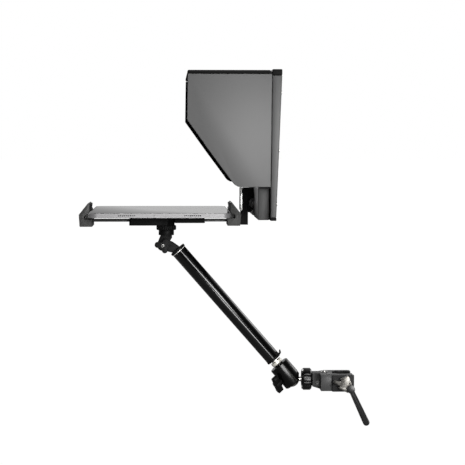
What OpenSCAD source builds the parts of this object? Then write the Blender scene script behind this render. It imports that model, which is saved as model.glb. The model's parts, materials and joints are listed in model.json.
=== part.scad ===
/* [Pole clamp] */
// Diameter of the pole that the clamp grips
pole_d = 23.5; // [22.5:0.1:24]
// Height of the clamp's jaws
clamp_h = 21; // [20:0.5:22]
// Diameter of the clamp's screw
screw_d = 8; // [7:0.5:8]
// Length of the folding lever
lever_l = 56; // [40:1:70]

/* [Ball head] */
// Distance from the pole's axis back to the ball's centre
ball_back = 66; // [66:0.5:70]
// Height of the stud above the middle of the clamp
stud_z = 1.7; // [0:0.1:2.5]
// Diameter of the ball
ball_d = 20.8; // [20.4:0.2:21]
// Diameter of the ball housing
housing_d = 26.8; // [26.4:0.2:27]
// Diameter of the lock wheel
wheel_d = 28.6; // [27:0.2:30]

/* [Arm] */
// Angle of the arm above the horizontal
arm_a = 48.85; // [48:0.05:50]
// Diameter of the arm tube
arm_d = 19.6; // [19:0.2:20]
// Wall of the arm tube
arm_wall = 1.8; // [1.5:0.1:2.2]

/* [Tablet and holder] */
// Short side of the tablet, across the jaws
tab_w = 174.8; // [174:0.2:175.2]
// Long side of the tablet
tab_l = 248; // [240:1:252]
// Thickness of the tablet
tab_t = 5.8; // [5.4:0.1:6.2]
// Width of the jaws along the tablet's side
jaw_l = 56; // [50:1:60]

/* [Hood] */
// Width of the hood and of the frame
hood_w = 280; // [276:1:284]
// Height of the top of the hood above the clamp
hood_top = 396.9; // [396:0.1:398]
// Radius of the lens port
port_r = 38.5; // [36:0.5:40]
// Length of the beam splitter pane
pane_l = 124; // [118:1:126]

/* [Hidden] */
$fn = 64;
pole_r = pole_d / 2;
bx = -ball_back;
ball_r = ball_d / 2;
house_r = housing_d / 2;
arm_r = arm_d / 2;
groove_a = 7.5;
arm_z0 = 33.9;
arm_z1 = 225.8;
kx = -233.1;
kz = 177;
pan_x = -228.5;
hx = -116.3;
hz = 231.8;
tab_x0 = -323.8;
tab_x1 = tab_x0 + tab_w;
tab_z = 217;
port_z = 315.2;
gx = -107;
gz = 261;
hw = hood_w / 2;
hood_rear = -101.7;

// a flat profile drawn in X and Z, from y0 to y1
module xz(y0, y1) translate([0, y1, 0]) rotate([90, 0, 0]) linear_extrude(height = y1 - y0) children();
// a flat profile drawn in Y and Z, from x0 to x1
module yz(x0, x1) translate([x0, 0, 0]) rotate([90, 0, 90]) linear_extrude(height = x1 - x0) children();
// a cylinder along X from x0 to x1
module cx(r, x0, x1, y, z) translate([x0, y, z]) rotate([0, 90, 0]) cylinder(r = r, h = x1 - x0);
// a cylinder along Y from y0 to y1
module cy(r, y0, y1, x, z) translate([x, y0, z]) rotate([-90, 0, 0]) cylinder(r = r, h = y1 - y0);
module box(x0, x1, y0, y1, z0, z1) translate([x0, y0, z0]) cube([x1 - x0, y1 - y0, z1 - z0]);
// the arm's own frame: its Z runs up the arm from the ball's centre
module on_arm() translate([bx, 0, stud_z]) rotate([0, arm_a - 90, 0]) children();
// the ball knob's own frame: its Z runs out from the housing
module on_knob() on_arm() translate([0, 0, 7.8]) rotate([0, 0, 25]) rotate([0, -90, 0]) children();

// ---------- pole clamp ----------
module clamp_body() color("dimgray") difference() {
  union() {
    translate([0, 0, -clamp_h / 2]) linear_extrude(height = clamp_h) polygon([
      [-29.5, -28], [12.6, -28], [12.6, -24.6], [-13.2, -24.6], [-13.2, 6.5], [11.8, 6.5], [11.8, 18], [9.5, 20],
      [-22, 20], [-29.5, 12]]);
    xz(-11, 11) polygon([[-38.9, -6.9], [-27.5, -clamp_h / 2], [-27.5, clamp_h / 2], [-38.9, clamp_h / 2]]);
    cy(2.2, -12.2, -10, -33.6, -4);
  }
  cylinder(r = pole_r + 2.15, h = 60, center = true);
  cx(3.98, -60, -29.5, 0, stud_z);
  cy(screw_d / 2 + 0.06, -40, -20, 0, 0);
  box(-21.9, -12, -24.6, -13, -clamp_h, clamp_h);
  translate([-22.7, 2.6, 5]) cylinder(r = 3.05, h = 20);
}
module clamp_rear_pad() color([0.1, 0.1, 0.11]) translate([0, 0, -10]) linear_extrude(height = 20) difference() {
  circle(r = pole_r + 2.1);
  circle(r = pole_r);
  translate([-30, -60]) square([60, 66.6]);
}
module clamp_nut_block() color([0.13, 0.13, 0.14]) difference() {
  translate([0, 0, 0]) box(-15.4, 12.6, -34, -28, -clamp_h / 2, clamp_h / 2);
  cy(screw_d / 2 + 0.06, -40, -20, 0, 0);
}
module socket_lock_screw() color("lightgray") difference() {
  union() {
    translate([-22.7, 2.6, 5]) cylinder(r = 3, h = clamp_h / 2 - 5);
    translate([-22.7, 2.6, clamp_h / 2]) cylinder(r = 4.8, h = 1);
  }
  translate([-22.7, 2.6, clamp_h / 2 - 1]) cylinder(r = 2.2, h = 3, $fn = 6);
}
module clamp_jaw_shoe() color("gray") difference() {
  union() {
    box(-12.6, 12.2, -18.4, -7.6, -10, 10);
    box(-21.4, -12, -18.4, -14.6, -10, 10);
  }
  cylinder(r = pole_r + 2.05, h = 60, center = true);
  cy(screw_d / 2 + 0.06, -19, -16.4, 0, 0);
}
module clamp_jaw_pad() color([0.1, 0.1, 0.11]) translate([0, 0, -10]) linear_extrude(height = 20) difference() {
  circle(r = pole_r + 2);
  circle(r = pole_r);
  translate([-30, -8]) square([60, 60]);
}
module clamp_spindle() color("silver") cy(screw_d / 2, -44, -16.5, 0, 0);
module clamp_screw_hub() color("silver") difference() {
  union() {
    cy(7.4, -45.6, -36, 0.5, 0);
    xz(-45.6, -38) polygon([[-2.6, 6], [3.6, 11.4], [5, 9], [9.4, -2], [11.2, -7.4], [5.5, -10.6], [0.5, -7]]);
    xz(-45.6, -40) polygon([[0, 3.2], [-13.6, 5.6], [-15.1, 3.4], [-14, 1.8], [-1, -4.2]]);
    xz(-45.6, -40) polygon([[3, -5], [-7.6, -2.2], [-8.9, -4], [-7.4, -5.6], [3.6, -10.6]]);
    xz(-45.6, -40) polygon([[3.6, 11.4], [-3.8, 8.6], [-6, 6.9], [-4.6, 4.6], [3, 4]]);
  }
  cy(screw_d / 2 + 0.02, -44.2, -30, 0, 0);
  cy(2.06, -60, -42, 6.7, -5);
}
module clamp_lever() color([0.12, 0.12, 0.13]) {
  cy(5.2, -52.4, -46.2, 6.7, -5);
  cy(2, -46.4, -42.1, 6.7, -5);
  translate([6.7, 0, -5]) rotate([0, -25, 0]) {
    xz(-51.6, -47) polygon([[-3.1, 0], [3.1, 0], [4.2, -lever_l + 9], [-4.2, -lever_l + 9]]);
    translate([0, 0, -lever_l + 9]) cy(4.2, -51.6, -47, 0, 0);
  }
}
// ---------- ball head ----------
module lock_wheel() color([0.08, 0.08, 0.08]) translate([-52.6, 0, stud_z]) rotate([0, 90, 0]) difference() {
  rotate_extrude() polygon([[3.98, 1.6], [6, 1.6], [7, 2.6], [10.4, 2.6], [11.4, 0.6], [12.4, 0],
    [wheel_d / 2, 2.4], [wheel_d / 2, 10.8], [wheel_d / 2 - 1.6, 12.4], [9, 13.4], [3.98, 13.4]]);
  for (a = [0:20:340]) rotate([0, 0, a]) translate([wheel_d / 2 + 1.15, 0, -1]) cylinder(r = 1.5, h = 20);
}
module ball_stud() color("silver") {
  translate([bx, 0, stud_z]) sphere(r = ball_r);
  cx(3, bx + 6, -49, 0, stud_z);
  cx(3.92, -53.5, -29.6, 0, stud_z);
}
module ball_housing() color([0.07, 0.07, 0.07]) difference() {
  on_arm() rotate_extrude() polygon([[0, -6.4], [house_r - 1.4, -6.4], [house_r, -5], [house_r, 24.2], [house_r - 0.9, 25.1],
    [6.2, 25.1], [6.2, 26.9], [0, 26.9]]);
  on_arm() translate([0, 0, 0]) sphere(r = ball_r + 0.06);
  on_arm() translate([0, 0, -8]) cylinder(r = 9.1, h = 5);
  on_arm() translate([0, 0, 0]) cylinder(r = 10.9, h = 15);
  on_arm() translate([0, 0, 14]) cylinder(r = 3.18, h = 20);
  on_arm() translate([0, -3.5, -8]) cube([20, 7, 8]);
  on_arm() rotate([0, 90, 0]) cylinder(r = 3.5, h = 20);
  on_arm() translate([house_r, -20, 0.2]) rotate([0, 48, 0]) translate([-0.01, 0, -14]) mirror([1, 0, 0]) translate([-20, 0, -20]) cube([20, 40, 34]);
  on_knob() cylinder(r = 3.06, h = 30);
}
module ball_cup() color("gray") on_arm() difference() {
  translate([0, 0, 4]) cylinder(r = 10.6, h = 9.6);
  sphere(r = ball_r + 0.08);
}
module ball_base_disc() color([0.94, 0.93, 0.88]) on_arm() difference() {
  translate([0, 0, 26.95]) cylinder(r = 7.5, h = 4.4);
  translate([0, 0, 20]) cylinder(r = 3.18, h = 20);
}
module ball_knob() color([0.1, 0.1, 0.1]) on_knob() {
  translate([0, 0, 10.9]) cylinder(r = 3, h = 5);
  translate([0, 0, 14.3]) cylinder(r = 4.6, h = 3);
  translate([0, 0, 16.2]) rotate([0, 0, -38]) linear_extrude(height = 6.8) union() {
    circle(r = 5.6);
    translate([-9.4, 0]) circle(r = 4.1);
    translate([9.4, 0]) circle(r = 4.1);
    polygon([[-9.4, -3.9], [9.4, -3.9], [9.4, 3.9], [-9.4, 3.9]]);
  }
}
// ---------- arm ----------
module arm_tube() color([0.06, 0.06, 0.07]) on_arm() translate([0, 0, 36.5]) difference() {
  cylinder(r = arm_r, h = 185.3);
  translate([0, 0, -1]) cylinder(r = arm_r - arm_wall, h = 190);
  // shallow groove along the tube
  rotate([0, 0, groove_a]) translate([-0.4, -arm_r - 1, -1]) cube([0.8, 1.6, 190]);
}
module arm_top_ring() color("silver") on_arm() translate([0, 0, 221.8]) difference() {
  cylinder(r = arm_r + 0.1, h = 0.8);
  translate([0, 0, -1]) cylinder(r = arm_r - arm_wall - 0.05, h = 4);
}
module arm_top_cap() color([0.1, 0.1, 0.1]) on_arm() {
  translate([0, 0, 222.6]) cylinder(r = arm_r + 0.9, h = arm_z1 - 222.6);
  translate([0, 0, 208]) cylinder(r = arm_r - arm_wall - 0.05, h = 15);
}
module arm_bottom_cap() color([0.1, 0.1, 0.1]) on_arm() difference() {
  union() {
    translate([0, 0, arm_z0]) cylinder(r = arm_r + 0.35, h = 36.5 - arm_z0);
    translate([0, 0, 36]) cylinder(r = arm_r - arm_wall - 0.05, h = 15);
    xz(-3.5, 3.5) polygon([[8, arm_z0], [12.6, arm_z0 + 1.2], [14.4, 38.4], [13.2, 39], [10.6, 36.4], [8, 36.4]]);
  }
  translate([0, 0, 20]) cylinder(r = 3.1, h = 24);
}
module arm_stud() color("silver") on_arm() {
  translate([0, 0, 18]) cylinder(r = 3.08, h = 26);
  translate([0, 0, 31.4]) cylinder(r = 4.6, h = arm_z0 - 31.4, $fn = 6);
}
module arm_lug() color([0.16, 0.16, 0.16]) difference() {
  union() {
    cy(7.3, -3.5, 3.5, kx, kz);
    xz(-3.5, 3.5) polygon([[kx - 0.5, kz + 7.2], [kx + 4, kz + 7], [kx + 12, kz + 4.4], [kx + 21.69, kz - 2.17],
      [kx + 12.71, kz - 10.14], [kx - 3.6, kz - 6.3]]);
  }
  cy(2.96, -20, 20, kx, kz);
}
// ---------- head ----------
module fork_side() polygon([[kx - 7.2, kz - 1], [kx + 7.2, kz - 1], [kx + 8.4, kz + 4], [kx + 12, kz + 9.6], [kx + 12, kz + 12.7], [kx - 2.8, kz + 12.7], [kx - 6.9, kz + 2]]);
module head_fork() color([0.17, 0.17, 0.17]) difference() {
  union() {
    for (y = [-9, 3.9]) {
      xz(y, y + 5.1) fork_side();
      cy(7.4, y, y + 5.1, kx, kz);
    }
    xz(-9, 9) polygon([[kx - 3.4, kz + 9.2], [kx + 9, kz + 10], [kx + 12, kz + 10.6], [kx + 12, kz + 12.9], [kx - 2.8, kz + 12.9]]);
    translate([pan_x, 0, 188.5]) cylinder(r = 7.4, h = 2);
    translate([pan_x, 0, 189.8]) cylinder(r = 9.9, h = 6.3);
  }
  cy(2.96, -20, 20, kx, kz);
  translate([pan_x, 0, 190.2]) cylinder(r = 3.12, h = 20);
}
module head_stud() color("silver") translate([pan_x, 0, 190.2]) cylinder(r = 3.1, h = 19.8);
module pivot_nut() color("silver") difference() {
  cy(5, 9.05, 12.6, kx, kz);
  cy(2.96, 0, 20, kx, kz);
}
module wing_knob() color([0.12, 0.12, 0.12]) {
  cy(2.9, -12, 12.4, kx, kz);
  cy(4.6, -11.6, -9.2, kx, kz);
  translate([kx, 0, kz]) rotate([0, 0, 0]) xz(-19.5, -11.4) {
    circle(r = 5.2);
    for (a = [-67, 53, 173]) rotate(a) {
      translate([6.8, 0]) circle(r = 3.6);
      polygon([[0, -3.8], [6.8, -3.6], [6.8, 3.6], [0, 3.8]]);
    }
  }
}
module lock_disc() color([0.12, 0.12, 0.12]) difference() {
  translate([pan_x, 0, 196.4]) rotate_extrude() polygon([[3.18, 0], [11.8, 0], [12.8, 0.8], [12.8, 5.2], [11.8, 6.2], [3.18, 6.2]]);
  for (a = [0:15:345]) translate([pan_x, 0, 196]) rotate([0, 0, a]) translate([13.4, 0, 0]) cylinder(r = 1.1, h = 8);
}
// ---------- tablet holder ----------
module holder_sleeve() color([0.14, 0.14, 0.14]) difference() {
  translate([0, 0, 202.9]) linear_extrude(height = 8.9) polygon([[-276, -20], [-274, -22], [-226.5, -22], [-217.8, -13], [-217.8, 22], [-274, 22], [-276, 20]]);
  box(-290, -232, -8.1, 8.1, 207.2, 210.6);
  box(-268, -236, 11.6, 17.6, 204.4, 210.4);
  translate([pan_x, 0, 200]) cylinder(r = 3.18, h = 10.2);
}
module holder_bridge() color([0.14, 0.14, 0.14]) difference() {
  box(-217.8, -179, -19, 19, 206, 211.2);
  box(-200, -170, -8, 8, 207.4, 210.4);
}
module fixed_bar() color([0.2, 0.2, 0.2]) box(-200, -150.5, -8, 8, 207.4, 210.4);
// the jaw's hooked profile: x outward from the tablet's edge, z up from its underside
module jaw_profile() polygon([[-0.9, -15.3], [14.6, -15.3], [15.3, -14.4], [16.2, 0.1], [5, 14.2], [4.2, 14.9], [2.8, 14.9], [2.5, 14.2], [2.5, 3.2], [5, 0.4], [9, -1.4], [9, -5.7], [-0.9, -5.7]]);
// a web that closes the jaw's channel in the middle
module jaw_web() xz(-12, 12) polygon([[0.6, -6], [9.4, -6], [9.4, -1.5], [5, 0.6], [2.9, 2.9], [2.9, 1.2], [0.6, 1.2]]);
module pad_profile() polygon([[2.5, 13.9], [0.8, 13.4], [1.5, 8], [0.5, 6.4], [0.5, 4.6], [1.6, 1.4], [2.5, 1.4]]);
module right_jaw() color([0.33, 0.33, 0.32]) translate([tab_x1, 0, tab_z + 1.2]) difference() {
  union() {
    xz(-jaw_l / 2, jaw_l / 2) jaw_profile();
    jaw_web();
  }
  for (y = [-5, 5]) cx(1.6, 5.4, 20, y, -8);
}
module right_jaw_pad() color([0.1, 0.1, 0.1]) translate([tab_x1, 0, tab_z]) xz(-jaw_l / 2 + 0.5, jaw_l / 2 - 0.5) translate([0, 1.2]) polygon([[2.5, 13.9], [0.8, 13.4], [1.5, 8], [0.5, 6.4], [0.5, 3.4], [1.6, 1.4], [2.5, 1.4]]);
module return_spring() color("silver") translate([-252, 14.6, 207.4]) rotate([0, 90, 0]) for (i = [-7:7]) translate([0, 0, i * 1.9]) rotate_extrude() translate([2.2, 0]) circle(r = 0.35, $fn = 16);
module left_slide_bar() color([0.2, 0.2, 0.2]) box(-323.8, -234, -8, 8, 207.3, 210.5);
module left_jaw() color([0.33, 0.33, 0.32]) difference() {
  union() {
    translate([tab_x0, 0, tab_z]) xz(-jaw_l / 2, jaw_l / 2) mirror([1, 0]) jaw_profile();
    translate([tab_x0, 0, tab_z]) mirror([1, 0, 0]) jaw_web();
  }
  box(-324.4, -322, -8, 8, 207.3, 210.5);
}
module left_jaw_pad() color([0.1, 0.1, 0.1]) translate([tab_x0, 0, tab_z]) xz(-jaw_l / 2 + 0.5, jaw_l / 2 - 0.5) mirror([1, 0]) pad_profile();
module bracket_post() color([0.1, 0.1, 0.1]) difference() {
  union() {
    xz(-10, 10) polygon([[-132.5, 203.4], [-123.2, 203.4], [-123.2, 225.3], [-132.5, 225.3]]);
    xz(-3.9, 3.9) polygon([[-130.1, 219.2], [-119.6, 219.2], [-113, 227.6], [-112.6, 233], [-115, 236.6], [-120.5, 236.1], [-126, 233.3], [-130.1, 231.5]]);
    cy(5.3, -3.9, 3.9, hx, hz);
    for (y = [-5, 5]) cx(1.55, tab_x1 + 5.6, -132.4, y, tab_z - 6.8);
  }
  cy(2.46, -20, 20, hx, hz);
}
// ---------- tablet ----------
module rounded(w, l, r) { translate([r, 0]) square([w - 2 * r, l]); translate([0, r]) square([w, l - 2 * r]); for (x = [r, w - r], y = [r, l - r]) translate([x, y]) circle(r = r); }
module key_pocket(y0, y1) box(tab_x1 - 1.2, tab_x1 + 1, y0, y1, tab_z + 1.7, tab_z + 4.1);
module tablet_shell() color([0.75, 0.75, 0.76]) difference() {
  translate([tab_x0, -tab_l / 2, tab_z]) linear_extrude(height = tab_t - 0.05) rounded(tab_w, tab_l, 11);
  translate([tab_x0 + 0.7, -tab_l / 2 + 0.7, tab_z + tab_t - 0.8]) linear_extrude(height = 2) rounded(tab_w - 1.4, tab_l - 1.4, 10.3);
  key_pocket(69.9, 80.1);
  key_pocket(82.9, 93.1);
  box(tab_x0 + 22.9, tab_x0 + 34.1, tab_l / 2 - 1.2, tab_l / 2 + 1, tab_z + 1.7, tab_z + 4.1);
  for (s = [-1, 1], i = [-4:4]) cy(0.75, -tab_l / 2 - 1, -tab_l / 2 + 1.4, tab_x0 + tab_w / 2 + s * 40.4 + i * 2.4, tab_z + 2.9);
  box(tab_x0 + tab_w / 2 - 4.4, tab_x0 + tab_w / 2 + 4.4, tab_l / 2 - 3, tab_l / 2 + 1, tab_z + 1.9, tab_z + 4);
  for (x = [-6.4, 7.6]) cy(0.45, -tab_l / 2 - 1, -tab_l / 2 + 1, tab_x0 + tab_w / 2 + x, tab_z + 2.9);
}
module tablet_glass() color([0.05, 0.05, 0.06]) translate([tab_x0 + 0.75, -tab_l / 2 + 0.75, tab_z + tab_t - 0.78]) linear_extrude(height = 0.78) rounded(tab_w - 1.5, tab_l - 1.5, 10.25);
module tablet_power_key() color("silver") box(tab_x0 + 23, tab_x0 + 34, tab_l / 2 - 0.8, tab_l / 2 + 0.3, tab_z + 1.8, tab_z + 4);
module tablet_volume_up_key() color("silver") box(tab_x1 - 0.8, tab_x1 + 0.3, 83, 93, tab_z + 1.8, tab_z + 4);
module tablet_volume_down_key() color("silver") box(tab_x1 - 0.8, tab_x1 + 0.3, 70, 80, tab_z + 1.8, tab_z + 4);
// ---------- tilt bracket and frame ----------
module tilt_knob() color([0.1, 0.1, 0.1]) {
  cy(2.4, -12, 13, hx, hz);
  xz(-18.5, -9.6) translate([hx, hz]) difference() {
    circle(r = 6.4);
    for (a = [0:45:315]) rotate(a) translate([7.2, 0]) circle(r = 1.7);
  }
}
module tilt_block() color([0.14, 0.14, 0.14]) difference() {
  union() {
    xz(-13, 13) polygon([[-130.5, 239.6], [-129, 238.2], [-107.2, 238.2], [-107.2, 251.1], [-129, 251.1], [-130.5, 249.6]]);
    for (y = [-9.2, 4.3]) {
      cy(5.6, y, y + 4.9, hx, hz);
      xz(y, y + 4.9) polygon([[hx - 4.8, hz - 3], [hx + 5.4, hz], [-109.4, 238.6], [-130.4, 238.6], [-130.4, 232.7], [-125, 229.7]]);
    }
  }
  xz(-20, -9.4) polygon([[-127.6, 241], [-118.6, 241], [-118.6, 248.4], [-127.6, 248.4]]);
  cy(2.46, -20, 20, hx, hz);
}
module tilt_plate() color([0.8, 0.8, 0.8]) {
  box(-133.4, -130.6, -16, 16, 238.5, 251.1);
  box(-133.4, -130.6, -16, -10.6, 222.2, 238.6);
  box(-133.4, -130.6, 10.6, 16, 222.2, 238.6);
}
module cross_beam() color([0.33, 0.33, 0.33]) difference() {
  box(-116.1, -101.9, -120, 120, 214.3, 253.9);
  box(-120, -107.2, -20, 20, 200, 260);
}
module stile_side() polygon([[-101.3, 218.1], [-94.7, 218.1], [-87.7, 390.6], [-99.5, 390.6]]);
module near_stile() color([0.5, 0.5, 0.5]) xz(-hw, -hw + 9) stile_side();
module far_stile() color([0.5, 0.5, 0.5]) xz(hw - 9, hw) stile_side();
module top_rail() color([0.09, 0.09, 0.09]) box(-99.5, -87.6, -hw, hw, 390.7, 398);
module bottom_rail() color([0.09, 0.09, 0.09]) box(-101.7, -94.5, -hw, hw, 214.3, 218);
module rear_plate() color([0.1, 0.1, 0.1]) difference() {
  box(-98.8, -95.8, -hw + 9.05, hw - 9.05, 218.1, 390.6);
  cx(port_r + 4.52, -120, -80, 0, port_z);
}
module lens_ring() color([0.14, 0.14, 0.15]) translate([-98.8, 0, port_z]) rotate([0, 90, 0]) rotate_extrude() polygon([[port_r, 0],
  [port_r + 4.5, 0], [port_r + 4.5, 3.05], [port_r + 9, 3.05], [port_r + 9, 4.6], [port_r + 7.6, 6], [port_r + 2.6, 6], [port_r + 1.4, 9], [port_r, 9]]);
module frame_screws() color("silver") {
  for (s = [-1, 1], z = [235, 300, 370]) translate([-94.7 + (z - 218.1) * 7 / 172.5 + 0.1, s * (hw - 4.5), z]) rotate([0, 90, 0]) cylinder(r = 2.4, h = 0.5);
}
module glass_hinge_ears() color([0.12, 0.12, 0.12]) for (s = [-1, 1]) difference() {
  translate([0, s > 0 ? 0 : -263.8 - 2 * (hw - 140), 0]) xz(hw - 9.6, hw - 6.6) polygon([[-101.9, 255.6], [-107, 255.6], [-112, 259], [-112, 263.4], [-107, 267.4], [-101.9, 268]]);
  cy(2.06, -200, 200, gx, gz);
}
// the glass frame's own frame: X runs up the pane from the hinge
module on_pane() translate([gx, 0, gz]) rotate([0, 45, 0]) rotate([0, 180, 0]) mirror([0, 0, 1]) children();
module glass_frame() color([0.1, 0.1, 0.1]) difference() {
  on_pane() union() {
    translate([-3, -129, -3]) cube([pane_l + 6, 258, 6]);
  }
  on_pane() translate([6, -119, -5]) cube([pane_l - 14, 238, 10]);
  on_pane() translate([1.9, -124.05, -1.3]) cube([pane_l - 3.8, 248.1, 2.6]);
  cy(2.03, -140, -120, gx, gz);
  cy(2.03, 120, 140, gx, gz);
}
module beam_splitter() color([0.7, 0.8, 0.85, 0.4]) on_pane() translate([2, -124, -1.25]) cube([pane_l - 4, 248, 2.5]);
module glass_hinge_pins() color("silver") for (s = [-1, 1]) cy(2, s > 0 ? 124.2 : -133.2 - (hw - 140), s > 0 ? 133.2 + (hw - 140) : -124.2, gx, gz);
// ---------- hood ----------
module side_panel() polygon([[-202.1, 392.3], [-202.9, 337], [-194, 324.4], [-175.5, 298.6], [-150.3, 264.6], [-148, 261.2], [-145.2, 258], [-141.4, 255.9], [-137.6, 255.3], [-101.4, 255.3], [-99.9, 392.3]]);
module hood_near_panel() color([0.5, 0.5, 0.5]) xz(-hw, -hw + 2.4) side_panel();
module hood_far_panel() color([0.5, 0.5, 0.5]) xz(hw - 2.4, hw) side_panel();
module hood_top_panel() color([0.09, 0.09, 0.09]) box(-202.3, hood_rear, -hw, hw, 392.7, hood_top);

clamp_body();
clamp_rear_pad();
clamp_nut_block();
socket_lock_screw();
clamp_jaw_shoe();
clamp_jaw_pad();
clamp_spindle();
clamp_screw_hub();
clamp_lever();
lock_wheel();
ball_stud();
ball_housing();
ball_cup();
ball_base_disc();
ball_knob();
arm_tube();
arm_top_ring();
arm_top_cap();
arm_bottom_cap();
arm_stud();
arm_lug();
head_fork();
head_stud();
pivot_nut();
wing_knob();
lock_disc();
holder_sleeve();
holder_bridge();
fixed_bar();
right_jaw();
right_jaw_pad();
return_spring();
bracket_post();
left_slide_bar();
left_jaw();
left_jaw_pad();
tablet_shell();
tablet_glass();
tablet_power_key();
tablet_volume_up_key();
tablet_volume_down_key();
tilt_knob();
tilt_block();
tilt_plate();
cross_beam();
near_stile();
far_stile();
top_rail();
bottom_rail();
rear_plate();
lens_ring();
frame_screws();
glass_hinge_ears();
glass_frame();
beam_splitter();
glass_hinge_pins();
hood_top_panel();
hood_near_panel();
hood_far_panel();
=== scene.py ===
import bpy, bmesh, json, math
from mathutils import Vector, Matrix


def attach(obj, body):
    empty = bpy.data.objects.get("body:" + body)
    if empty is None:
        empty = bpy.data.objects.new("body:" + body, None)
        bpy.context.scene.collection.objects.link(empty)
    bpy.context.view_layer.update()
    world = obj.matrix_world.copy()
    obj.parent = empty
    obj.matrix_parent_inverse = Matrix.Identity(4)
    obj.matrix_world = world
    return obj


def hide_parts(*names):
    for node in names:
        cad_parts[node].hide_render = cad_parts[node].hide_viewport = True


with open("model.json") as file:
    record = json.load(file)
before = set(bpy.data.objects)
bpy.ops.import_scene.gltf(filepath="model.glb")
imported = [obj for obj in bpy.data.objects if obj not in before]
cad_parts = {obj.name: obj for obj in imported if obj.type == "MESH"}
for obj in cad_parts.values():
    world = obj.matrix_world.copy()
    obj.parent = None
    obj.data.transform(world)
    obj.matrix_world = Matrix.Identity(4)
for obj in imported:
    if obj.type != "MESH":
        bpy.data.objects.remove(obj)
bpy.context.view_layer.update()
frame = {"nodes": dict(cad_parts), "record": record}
BODY = {}
for b, ns in frame["record"]["behaviour"]["bodies"].items():
    for n in ns:
        BODY[n] = b
SLOT = {s["node"]: s["material_slot"] for s in frame["record"]["subparts"]}
NODE = frame["nodes"]
MM = 0.001
R = math.radians

# ------------------------------------------------------------------ camera
cam_data = bpy.data.cameras.new("camera")
cam = bpy.data.objects.new("camera", cam_data)
bpy.context.collection.objects.link(cam)
cam_data.lens = 131.692
cam_data.sensor_width = 36.0
cam_data.clip_start, cam_data.clip_end = 0.05, 60
yaw, pitch, roll = R(-2.0846), R(-3.0280), R(0.0495)
look = Vector((-math.sin(yaw) * math.cos(pitch), math.cos(yaw) * math.cos(pitch), math.sin(pitch)))
right = Vector((math.cos(yaw), math.sin(yaw), 0))
over = right.cross(look)
right, over = right * math.cos(roll) + over * math.sin(roll), over * math.cos(roll) - right * math.sin(roll)
cam.matrix_world = Matrix((right, over, -look)).transposed().to_4x4()
cam.location = (-0.22286, -2.2, 0.3093)
bpy.context.scene.camera = cam

# ------------------------------------------------------------------ light
WORLD_FRONT, WORLD_BACK = 0.02, 0.70
world = bpy.data.worlds.new("studio")
bpy.context.scene.world = world
world.use_nodes = True
wt = world.node_tree
for n in list(wt.nodes):
    wt.nodes.remove(n)
w_out = wt.nodes.new("ShaderNodeOutputWorld")
w_mix = wt.nodes.new("ShaderNodeMixShader")
w_path = wt.nodes.new("ShaderNodeLightPath")
w_seen = wt.nodes.new("ShaderNodeBackground")
w_lit = wt.nodes.new("ShaderNodeBackground")
w_seen.inputs["Color"].default_value = (1, 1, 1, 1)
w_seen.inputs["Strength"].default_value = 1.0
w_dir = wt.nodes.new("ShaderNodeTexCoord")
w_sep = wt.nodes.new("ShaderNodeSeparateXYZ")
w_map = wt.nodes.new("ShaderNodeMapRange")
w_map.interpolation_type = "SMOOTHSTEP"
w_map.inputs["From Min"].default_value = -0.20
w_map.inputs["From Max"].default_value = 0.62
w_map.inputs["To Min"].default_value = WORLD_FRONT
w_map.inputs["To Max"].default_value = WORLD_BACK
wt.links.new(w_dir.outputs["Generated"], w_sep.inputs[0])
wt.links.new(w_sep.outputs["Y"], w_map.inputs["Value"])
wt.links.new(w_map.outputs["Result"], w_lit.inputs["Strength"])
wt.links.new(w_path.outputs["Is Camera Ray"], w_mix.inputs[0])
wt.links.new(w_lit.outputs[0], w_mix.inputs[1])
wt.links.new(w_seen.outputs[0], w_mix.inputs[2])
wt.links.new(w_mix.outputs[0], w_out.inputs["Surface"])


def area(name, loc, target, size, power, size_y=None, color=(1, 1, 1)):
    d = bpy.data.lights.new(name, "AREA")
    d.shape = "RECTANGLE"
    d.size, d.size_y = size, size_y or size
    d.energy = power
    d.color = color
    o = bpy.data.objects.new(name, d)
    bpy.context.collection.objects.link(o)
    o.location = loc
    o.rotation_euler = (Vector(target) - Vector(loc)).to_track_quat("-Z", "Y").to_euler()
    return o


area("softbox_front", (0.45, -2.80, 0.62), (-0.15, 0, 0.20), 1.30, 92)
area("softbox_rear_left", (-1.7, 2.4, 1.3), (-0.15, 0, 0.2), 0.9, 30)
area("softbox_rear_right", (1.9, 1.9, 1.1), (-0.15, 0, 0.2), 0.9, 9)
area("softbox_left", (-2.6, -0.6, 0.8), (-0.15, 0, 0.2), 0.9, 3)

# ------------------------------------------------------------------ materials


def links(t):
    return t.links.new


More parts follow.
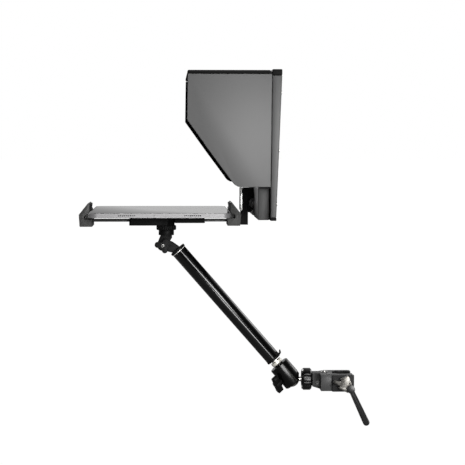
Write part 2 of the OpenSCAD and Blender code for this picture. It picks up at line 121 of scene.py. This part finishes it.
def make(name, a, b, rough, rvar=0.06, metal=0.0, spec=0.5, coat=0.0, coat_rough=0.08,
         grain=900.0, bump=0.05, depth=0.00008, mottle=35.0, brushed=None, edge=None, specks=None, sheen=0.0, aniso=0.0):
    """A surface with large soft colour mottle, fine grain in bump and roughness, and worn edges."""
    m = bpy.data.materials.new(name)
    m.use_nodes = True
    t = m.node_tree
    p = t.nodes["Principled BSDF"]
    p.inputs["Metallic"].default_value = metal
    p.inputs["Specular IOR Level"].default_value = spec
    p.inputs["Coat Weight"].default_value = coat
    p.inputs["Coat Roughness"].default_value = coat_rough
    p.inputs["Sheen Weight"].default_value = sheen
    p.inputs["Anisotropic"].default_value = aniso
    tc = t.nodes.new("ShaderNodeTexCoord")
    mp = t.nodes.new("ShaderNodeMapping")
    links(t)(tc.outputs["Object"], mp.inputs["Vector"])
    if brushed:
        mp.inputs["Scale"].default_value = brushed
    big = t.nodes.new("ShaderNodeTexNoise")
    big.inputs["Scale"].default_value = mottle
    big.inputs["Detail"].default_value = 4
    links(t)(tc.outputs["Object"], big.inputs["Vector"])
    fine = t.nodes.new("ShaderNodeTexNoise")
    fine.inputs["Scale"].default_value = grain
    fine.inputs["Detail"].default_value = 3
    links(t)(mp.outputs["Vector"], fine.inputs["Vector"])
    ramp = t.nodes.new("ShaderNodeValToRGB")
    ramp.color_ramp.elements[0].position = 0.32
    ramp.color_ramp.elements[1].position = 0.68
    ramp.color_ramp.elements[0].color = (*a, 1)
    ramp.color_ramp.elements[1].color = (*b, 1)
    links(t)(big.outputs["Fac"], ramp.inputs["Fac"])
    out = ramp.outputs["Color"]
    if specks:
        v = t.nodes.new("ShaderNodeTexVoronoi")
        v.inputs["Scale"].default_value = specks[0]
        links(t)(tc.outputs["Object"], v.inputs["Vector"])
        lt = t.nodes.new("ShaderNodeMath")
        lt.operation = "LESS_THAN"
        lt.inputs[1].default_value = specks[1]
        links(t)(v.outputs["Distance"], lt.inputs[0])
        mx = t.nodes.new("ShaderNodeMix")
        mx.data_type = "RGBA"
        links(t)(lt.outputs[0], mx.inputs["Factor"])
        links(t)(out, mx.inputs["A"])
        mx.inputs["B"].default_value = (*specks[2], 1)
        out = mx.outputs["Result"]
    if edge:
        g = t.nodes.new("ShaderNodeNewGeometry")
        er = t.nodes.new("ShaderNodeValToRGB")
        er.color_ramp.elements[0].position = edge[1]
        er.color_ramp.elements[1].position = edge[2]
        links(t)(g.outputs["Pointiness"], er.inputs["Fac"])
        ml = t.nodes.new("ShaderNodeMath")
        ml.operation = "MULTIPLY"
        links(t)(er.outputs["Color"], ml.inputs[0])
        links(t)(fine.outputs["Fac"], ml.inputs[1])
        mx = t.nodes.new("ShaderNodeMix")
        mx.data_type = "RGBA"
        links(t)(ml.outputs[0], mx.inputs["Factor"])
        links(t)(out, mx.inputs["A"])
        mx.inputs["B"].default_value = (*edge[0], 1)
        out = mx.outputs["Result"]
    links(t)(out, p.inputs["Base Color"])
    rr = t.nodes.new("ShaderNodeMapRange")
    rr.inputs["From Min"].default_value = 0.3
    rr.inputs["From Max"].default_value = 0.7
    rr.inputs["To Min"].default_value = max(0.02, rough - rvar)
    rr.inputs["To Max"].default_value = rough + rvar
    both = t.nodes.new("ShaderNodeMath")
    both.operation = "ADD"
    half = t.nodes.new("ShaderNodeMath")
    half.operation = "MULTIPLY"
    half.inputs[1].default_value = 0.5
    links(t)(fine.outputs["Fac"], both.inputs[0])
    links(t)(big.outputs["Fac"], both.inputs[1])
    links(t)(both.outputs[0], half.inputs[0])
    links(t)(half.outputs[0], rr.inputs["Value"])
    links(t)(rr.outputs["Result"], p.inputs["Roughness"])
    if bump:
        bn = t.nodes.new("ShaderNodeBump")
        bn.inputs["Strength"].default_value = bump
        bn.inputs["Distance"].default_value = depth
        links(t)(fine.outputs["Fac"], bn.inputs["Height"])
        links(t)(bn.outputs["Normal"], p.inputs["Normal"])
    return m


def grey(v, spread=0.12, tint=(1, 1, 1)):
    """A dark and a light shade of one grey, for the mottle."""
    return tuple(v * (1 - spread) * c for c in tint), tuple(v * (1 + spread) * c for c in tint)


M = {
    "clamp_grey": make("clamp_grey", *grey(0.036), 0.42, 0.05, spec=0.4, grain=1600, bump=0.25, edge=((0.12, 0.12, 0.12), 0.52, 0.62)),
    "clamp_black": make("clamp_black", *grey(0.006), 0.60, 0.06, spec=0.25, grain=1500, bump=0.2, edge=((0.05, 0.05, 0.05), 0.53, 0.65)),
    "rubber": make("rubber", *grey(0.008), 0.80, 0.08, spec=0.2, grain=2400, bump=0.35, depth=0.00012),
    "steel": make("steel", (0.46, 0.45, 0.43), (0.58, 0.57, 0.55), 0.26, 0.07, metal=1.0, grain=700, brushed=(1, 1, 6), bump=0.08),
    "cast_silver": make("cast_silver", (0.075, 0.072, 0.066), (0.15, 0.145, 0.135), 0.31, 0.06, metal=1.0, grain=420, bump=0.3, depth=0.0002, mottle=120),
    "gloss_black": make("gloss_black", *grey(0.0016), 0.23, 0.03, spec=0.30, grain=1200, bump=0.04, edge=((0.05, 0.05, 0.045), 0.54, 0.66)),
    "arm_black": make("arm_black", *grey(0.0012), 0.19, 0.012, spec=0.6, grain=600, bump=0.0),
    "knob_black": make("knob_black", *grey(0.0042), 0.58, 0.07, spec=0.17, grain=1900, bump=0.4, depth=0.0001),
    # the ball base disc is silver metal; its cream tint and the diffuse part of its brightness are a painted warm
    # reflection
    "disc_white": make("disc_white", (0.80, 0.78, 0.70), (0.88, 0.86, 0.79), 0.30, 0.06, metal=0.35, grain=500, bump=0.05),
    "holder_black": make("holder_black", *grey(0.0028), 0.60, 0.06, spec=0.12, grain=1700, bump=0.35),
    "jaw_grey": make("jaw_grey", *grey(0.040, tint=(1, 1, 0.97)), 0.52, 0.06, spec=0.4, grain=1500, bump=0.35),
    "bar_steel": make("bar_steel", *grey(0.02), 0.45, 0.06, spec=0.4, grain=900, brushed=(0.2, 3, 1), bump=0.2),
    "plate_alu": make("plate_alu", (0.60, 0.60, 0.58), (0.72, 0.72, 0.70), 0.30, 0.08, metal=1.0, grain=800, brushed=(1, 8, 0.3), bump=0.15),
    "tablet_alu": make("tablet_alu", (0.225, 0.222, 0.225), (0.245, 0.242, 0.245), 0.48, 0.01, metal=0.4, grain=900, bump=0.0),
    "tablet_glass": make("tablet_glass", (0.010, 0.010, 0.012), (0.013, 0.013, 0.015), 0.05, 0.02, spec=0.5, grain=300, bump=0.0, mottle=8),
    "frame_grey": make("frame_grey", *grey(0.052), 0.48, 0.05, spec=0.5, grain=1500, bump=0.25),
    "frame_black": make("frame_black", *grey(0.004), 0.66, 0.06, spec=0.12, grain=1500, bump=0.3),
    "hood_black": make("hood_black", *grey(0.094, 0.05), 0.50, 0.03, spec=0.5, grain=1300, bump=0.12, mottle=9),
    # flocked hood lining, darkened far below the outer skin as painted shade inside the hood
    "hood_lining_shade": make("hood_lining_shade", *grey(0.0045), 0.94, 0.04, spec=0.04, grain=2600, bump=0.5, depth=0.0002),
    "groove": make("groove", *grey(0.0015), 0.90, 0.04, spec=0.05, grain=1200, bump=0.0),
    "ring_bright": make("ring_bright", (0.82, 0.81, 0.78), (0.92, 0.91, 0.88), 0.38, 0.05, metal=0.5, grain=900, bump=0.05),
    "screw_steel": make("screw_steel", (0.20, 0.20, 0.19), (0.30, 0.30, 0.29), 0.42, 0.06, metal=0.8, grain=900, bump=0.1),
    "wheel_black": make("wheel_black", *grey(0.0018), 0.28, 0.03, spec=0.42, grain=1200, bump=0.02),
    "lever_black": make("lever_black", *grey(0.003), 0.30, 0.03, spec=0.42, grain=1400, bump=0.03, edge=((0.05, 0.05, 0.05), 0.53, 0.65)),
    "beam_grey": make("beam_grey", *grey(0.034), 0.52, 0.05, spec=0.4, grain=1500, bump=0.25),
}


def glass_mat():
    m = bpy.data.materials.new("pane")
    m.use_nodes = True
    t = m.node_tree
    p = t.nodes["Principled BSDF"]
    p.inputs["Transmission Weight"].default_value = 0.92
    p.inputs["IOR"].default_value = 1.5
    p.inputs["Coat Weight"].default_value = 1.0
    p.inputs["Coat IOR"].default_value = 2.1
    p.inputs["Coat Roughness"].default_value = 0.02
    tc = t.nodes.new("ShaderNodeTexCoord")
    n = t.nodes.new("ShaderNodeTexNoise")
    n.inputs["Scale"].default_value = 14
    links(t)(tc.outputs["Object"], n.inputs["Vector"])
    r = t.nodes.new("ShaderNodeMapRange")
    r.inputs["To Min"].default_value = 0.01
    r.inputs["To Max"].default_value = 0.05
    links(t)(n.outputs["Fac"], r.inputs["Value"])
    links(t)(r.outputs["Result"], p.inputs["Roughness"])
    c = t.nodes.new("ShaderNodeValToRGB")
    c.color_ramp.elements[0].color = (0.82, 0.88, 0.88, 1)
    c.color_ramp.elements[1].color = (0.88, 0.93, 0.92, 1)
    links(t)(n.outputs["Fac"], c.inputs["Fac"])
    links(t)(c.outputs["Color"], p.inputs["Base Color"])
    return m


M["pane"] = glass_mat()

# ------------------------------------------------------------------ pieces


def piece(name, mesh, body, mat, smooth=True):
    o = bpy.data.objects.new(name, mesh)
    bpy.context.collection.objects.link(o)
    mesh.materials.clear()
    mesh.materials.append(mat)
    if smooth:
        for f in mesh.polygons:
            f.use_smooth = True
    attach(o, body)
    return o


def from_bm(bm, name):
    me = bpy.data.meshes.new(name)
    bmesh.ops.recalc_face_normals(bm, faces=bm.faces)
    bm.to_mesh(me)
    bm.free()
    return me


def auto_smooth(o, angle=32):
    """Sharp edges where faces meet at more than the angle, so flats stay flat and rounds stay round."""
    bm = bmesh.new()
    bm.from_mesh(o.data)
    for e in bm.edges:
        if len(e.link_faces) == 2 and e.calc_face_angle(0) > R(angle):
            e.smooth = False
    bm.to_mesh(o.data)
    bm.free()


def bevel_mod(o, width, segs=2, angle=33, weight=False):
    m = o.modifiers.new("edge", "BEVEL")
    m.width = width
    m.segments = segs
    m.limit_method = "WEIGHT" if weight else "ANGLE"
    m.angle_limit = R(angle)
    m.harden_normals = True
    m.use_clamp_overlap = True
    return m


def remake(node, width=0.5, segs=2, angle=33, pick=None, mat=None, fine=0.6):
    """The CAD node's own shape with its edges rounded, as a new piece that stands for it."""
    src = NODE[node].data
    bm = bmesh.new()
    bm.from_mesh(src)
    bmesh.ops.remove_doubles(bm, verts=bm.verts, dist=3e-6)
    bmesh.ops.dissolve_limit(bm, angle_limit=R(fine), verts=bm.verts, edges=bm.edges)
    me = bpy.data.meshes.new(node + "_made")
    weight = pick is not None
    if weight:
        lay = bm.edges.layers.float.new("bevel_weight_edge")
        for e in bm.edges:
            if len(e.link_faces) == 2 and e.calc_face_angle(0) > R(20):
                e[lay] = 1.0 if pick(e.verts[0].co * 1000, e.verts[1].co * 1000) else 0.0
                if not e[lay]:
                    e.smooth = False
    bmesh.ops.recalc_face_normals(bm, faces=bm.faces)
    bm.to_mesh(me)
    bm.free()
    o = piece(node + "_made", me, BODY[node], mat or M[SLOT[node]])
    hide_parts(node)
    if width:
        bevel_mod(o, width * MM, segs, angle, weight)
    if not width or weight:
        auto_smooth(o)
    return o


def finish_cad(node):
    """The CAD node as it is, with its material."""
    o = NODE[node]
    o.data.materials.clear()
    o.data.materials.append(M[SLOT[node]])


MADE = {}
BEVELS = {
    "clamp_body": 0.8, "clamp_nut_block": 1.0, "clamp_jaw_shoe": 0.6, "clamp_jaw_pad": 0.3, "clamp_rear_pad": 0.3,
    "socket_lock_screw": 0.3, "clamp_spindle": 0.4, "clamp_screw_hub": 0.9, "clamp_lever": 1.2,
    "lock_wheel": 0.35, "ball_housing": 0.35, "ball_base_disc": 0.5, "ball_knob": 0.9,
    "arm_tube": 0.12, "arm_top_ring": 0.12, "arm_top_cap": 0.5, "arm_bottom_cap": 0.45, "arm_stud": 0.3, "arm_lug": 0.8,
    "head_fork": 0.7, "pivot_nut": 0.5, "wing_knob": 0.9, "lock_disc": 0.25,
    "holder_sleeve": 0.9, "holder_bridge": 0.6, "fixed_bar": 0.4, "left_slide_bar": 0.4,
    "right_jaw": 1.0, "left_jaw": 1.0, "right_jaw_pad": 0.3, "left_jaw_pad": 0.3, "bracket_post": 0.6,
    "tilt_knob": 0.5, "tilt_block": 0.7, "tilt_plate": 0.3, "cross_beam": 1.2,
    "near_stile": 0.9, "far_stile": 0.9, "top_rail": 0.9, "bottom_rail": 0.6, "rear_plate": 0.4, "lens_ring": 0.25,
    "glass_hinge_ears": 0.4, "glass_frame": 0.5, "beam_splitter": 0.3,
    "hood_near_panel": 0.7, "hood_far_panel": 0.7, "hood_top_panel": 1.2,
    "tablet_power_key": 0.25, "tablet_volume_up_key": 0.25, "tablet_volume_down_key": 0.25, "tablet_glass": 0.2,
}
for n, w in BEVELS.items():
    MADE[n] = remake(n, w)
for n in ("ball_stud", "ball_cup", "head_stud", "return_spring", "frame_screws", "glass_hinge_pins"):
    finish_cad(n)
def inside(node, normal):
    """The faces that look into the hood, and those facing -X, take its flocked lining, made much darker than the outer
    skin as painted shade inside the hood.
    """
    o = MADE[node]
    o.data.materials.append(M["hood_lining_shade"])
    for f in o.data.polygons:
        if f.normal.dot(Vector(normal)) > 0.7 or f.normal.x < -0.9:
            f.material_index = 1


inside("hood_near_panel", (0, 1, 0))
inside("hood_far_panel", (0, -1, 0))
inside("hood_top_panel", (0, 0, -1))
MADE["hood_top_panel"].data.materials[0] = M["frame_black"]
MADE["cross_beam"].data.materials[0] = M["beam_grey"]
MADE["arm_top_ring"].data.materials[0] = M["ring_bright"]
MADE["lock_wheel"].data.materials[0] = M["wheel_black"]
MADE["clamp_lever"].data.materials[0] = M["lever_black"]


def lathe(name, axis_xz, profile, body, mat, count=48):
    """A turned piece about a line along Y: profile points are (radius, y) in mm."""
    bm = bmesh.new()
    rings = []
    for r_, y_ in profile:
        if r_ < 1e-6:
            rings.append([bm.verts.new((axis_xz[0] * MM, y_ * MM, axis_xz[1] * MM))])
        else:
            rings.append([bm.verts.new(((axis_xz[0] + r_ * math.cos(2 * math.pi * k / count)) * MM, y_ * MM,
                                        (axis_xz[1] + r_ * math.sin(2 * math.pi * k / count)) * MM)) for k in range(count)])
    for a_, b_ in zip(rings, rings[1:]):
        for k in range(count):
            j = (k + 1) % count
            if len(a_) == 1 and len(b_) > 1:
                bm.faces.new((a_[0], b_[k], b_[j]))
            elif len(b_) == 1 and len(a_) > 1:
                bm.faces.new((a_[k], b_[0], a_[j]))
            elif len(a_) > 1:
                bm.faces.new((a_[k], b_[k], b_[j], a_[j]))
    o = piece(name, from_bm(bm, name), body, mat)
    auto_smooth(o, 28)
    return o


SCREW = [(0, 0.35), (1.0, 0.35), (1.05, -0.05), (1.2, -0.16), (1.7, -0.16), (2.15, 0.02), (2.25, 0.12), (2.25, 0.6), (0, 0.6)]
lathe("wing_knob_screw", (-233.1, 177.0), [(r_, y_ - 19.6) for r_, y_ in SCREW], "wing_knob", M["screw_steel"])
lathe("tilt_knob_screw", (-116.3, 231.8), [(r_ * 0.8, y_ - 18.6) for r_, y_ in SCREW], "tilt_knob", M["screw_steel"])

# the two thin grooves that run along the tube are matt, the tube itself is polished
ARM_B = Vector((-66.0, 0, 1.7))
ARM_UP = Vector((-math.cos(R(48.85)), 0, math.sin(R(48.85))))


def arm_radius(co):
    v = co * 1000 - ARM_B
    return (v - ARM_UP * v.dot(ARM_UP)).length


tube = MADE["arm_tube"]
tube.data.materials.append(M["groove"])
for f in tube.data.polygons:
    rad = [arm_radius(tube.data.vertices[i].co) for i in f.vertices]
    if 8.9 < min(rad) < 9.5:
        f.material_index = 1

shell_z = [v.co.z * 1000 for v in NODE["tablet_shell"].data.vertices]
z_lo, z_hi = min(shell_z), max(shell_z)
MADE["tablet_shell"] = remake("tablet_shell", 1.2, 4, pick=lambda a, b: abs(a.z - b.z) < 0.01 and (a.z < z_lo + 0.05 or a.z > z_hi - 0.05))

shell = MADE["tablet_shell"]
# painted shade: the walls of the speaker holes on the near side take the dark rubber so the holes read dark; there is
# no rubber part there
shell.data.materials.append(M["rubber"])
shell_lo = [min(v.co[i] for v in shell.data.vertices) * 1000 for i in range(3)]
shell_hi = [max(v.co[i] for v in shell.data.vertices) * 1000 for i in range(3)]
for f in shell.data.polygons:
    c = f.center * 1000
    if abs(c.x - (shell_lo[0] + shell_hi[0]) / 2) < 60 and 0.25 < c.y - shell_lo[1] < 1.6 and abs(c.z - shell_lo[2] - 2.9) < 0.9:
        f.material_index = 1
MADE["tilt_knob"].data.materials[0] = M["beam_grey"]

# ------------------------------------------------------------------ floor
bpy.ops.mesh.primitive_plane_add(size=80, location=(0, 20.0, -0.30))
floor = bpy.context.object
floor.name = "floor"
fm = bpy.data.materials.new("floor")
fm.use_nodes = True
ft = fm.node_tree
ft.nodes["Principled BSDF"].inputs["Base Color"].default_value = (0.20, 0.20, 0.20, 1)
ft.nodes["Principled BSDF"].inputs["Roughness"].default_value = 0.8
f_emit = ft.nodes.new("ShaderNodeEmission")
f_emit.inputs["Strength"].default_value = 1.04
f_path = ft.nodes.new("ShaderNodeLightPath")
f_fac = ft.nodes.new("ShaderNodeMath")
f_fac.operation = "MULTIPLY"
f_fac.inputs[1].default_value = 0.97
f_mix = ft.nodes.new("ShaderNodeMixShader")
ft.links.new(f_path.outputs["Is Camera Ray"], f_fac.inputs[0])
ft.links.new(f_fac.outputs[0], f_mix.inputs[0])
ft.links.new(ft.nodes["Principled BSDF"].outputs[0], f_mix.inputs[1])
ft.links.new(f_emit.outputs[0], f_mix.inputs[2])
ft.links.new(f_mix.outputs[0], ft.nodes["Material Output"].inputs["Surface"])
floor.data.materials.append(fm)

bpy.context.scene.view_settings.view_transform = "Standard"
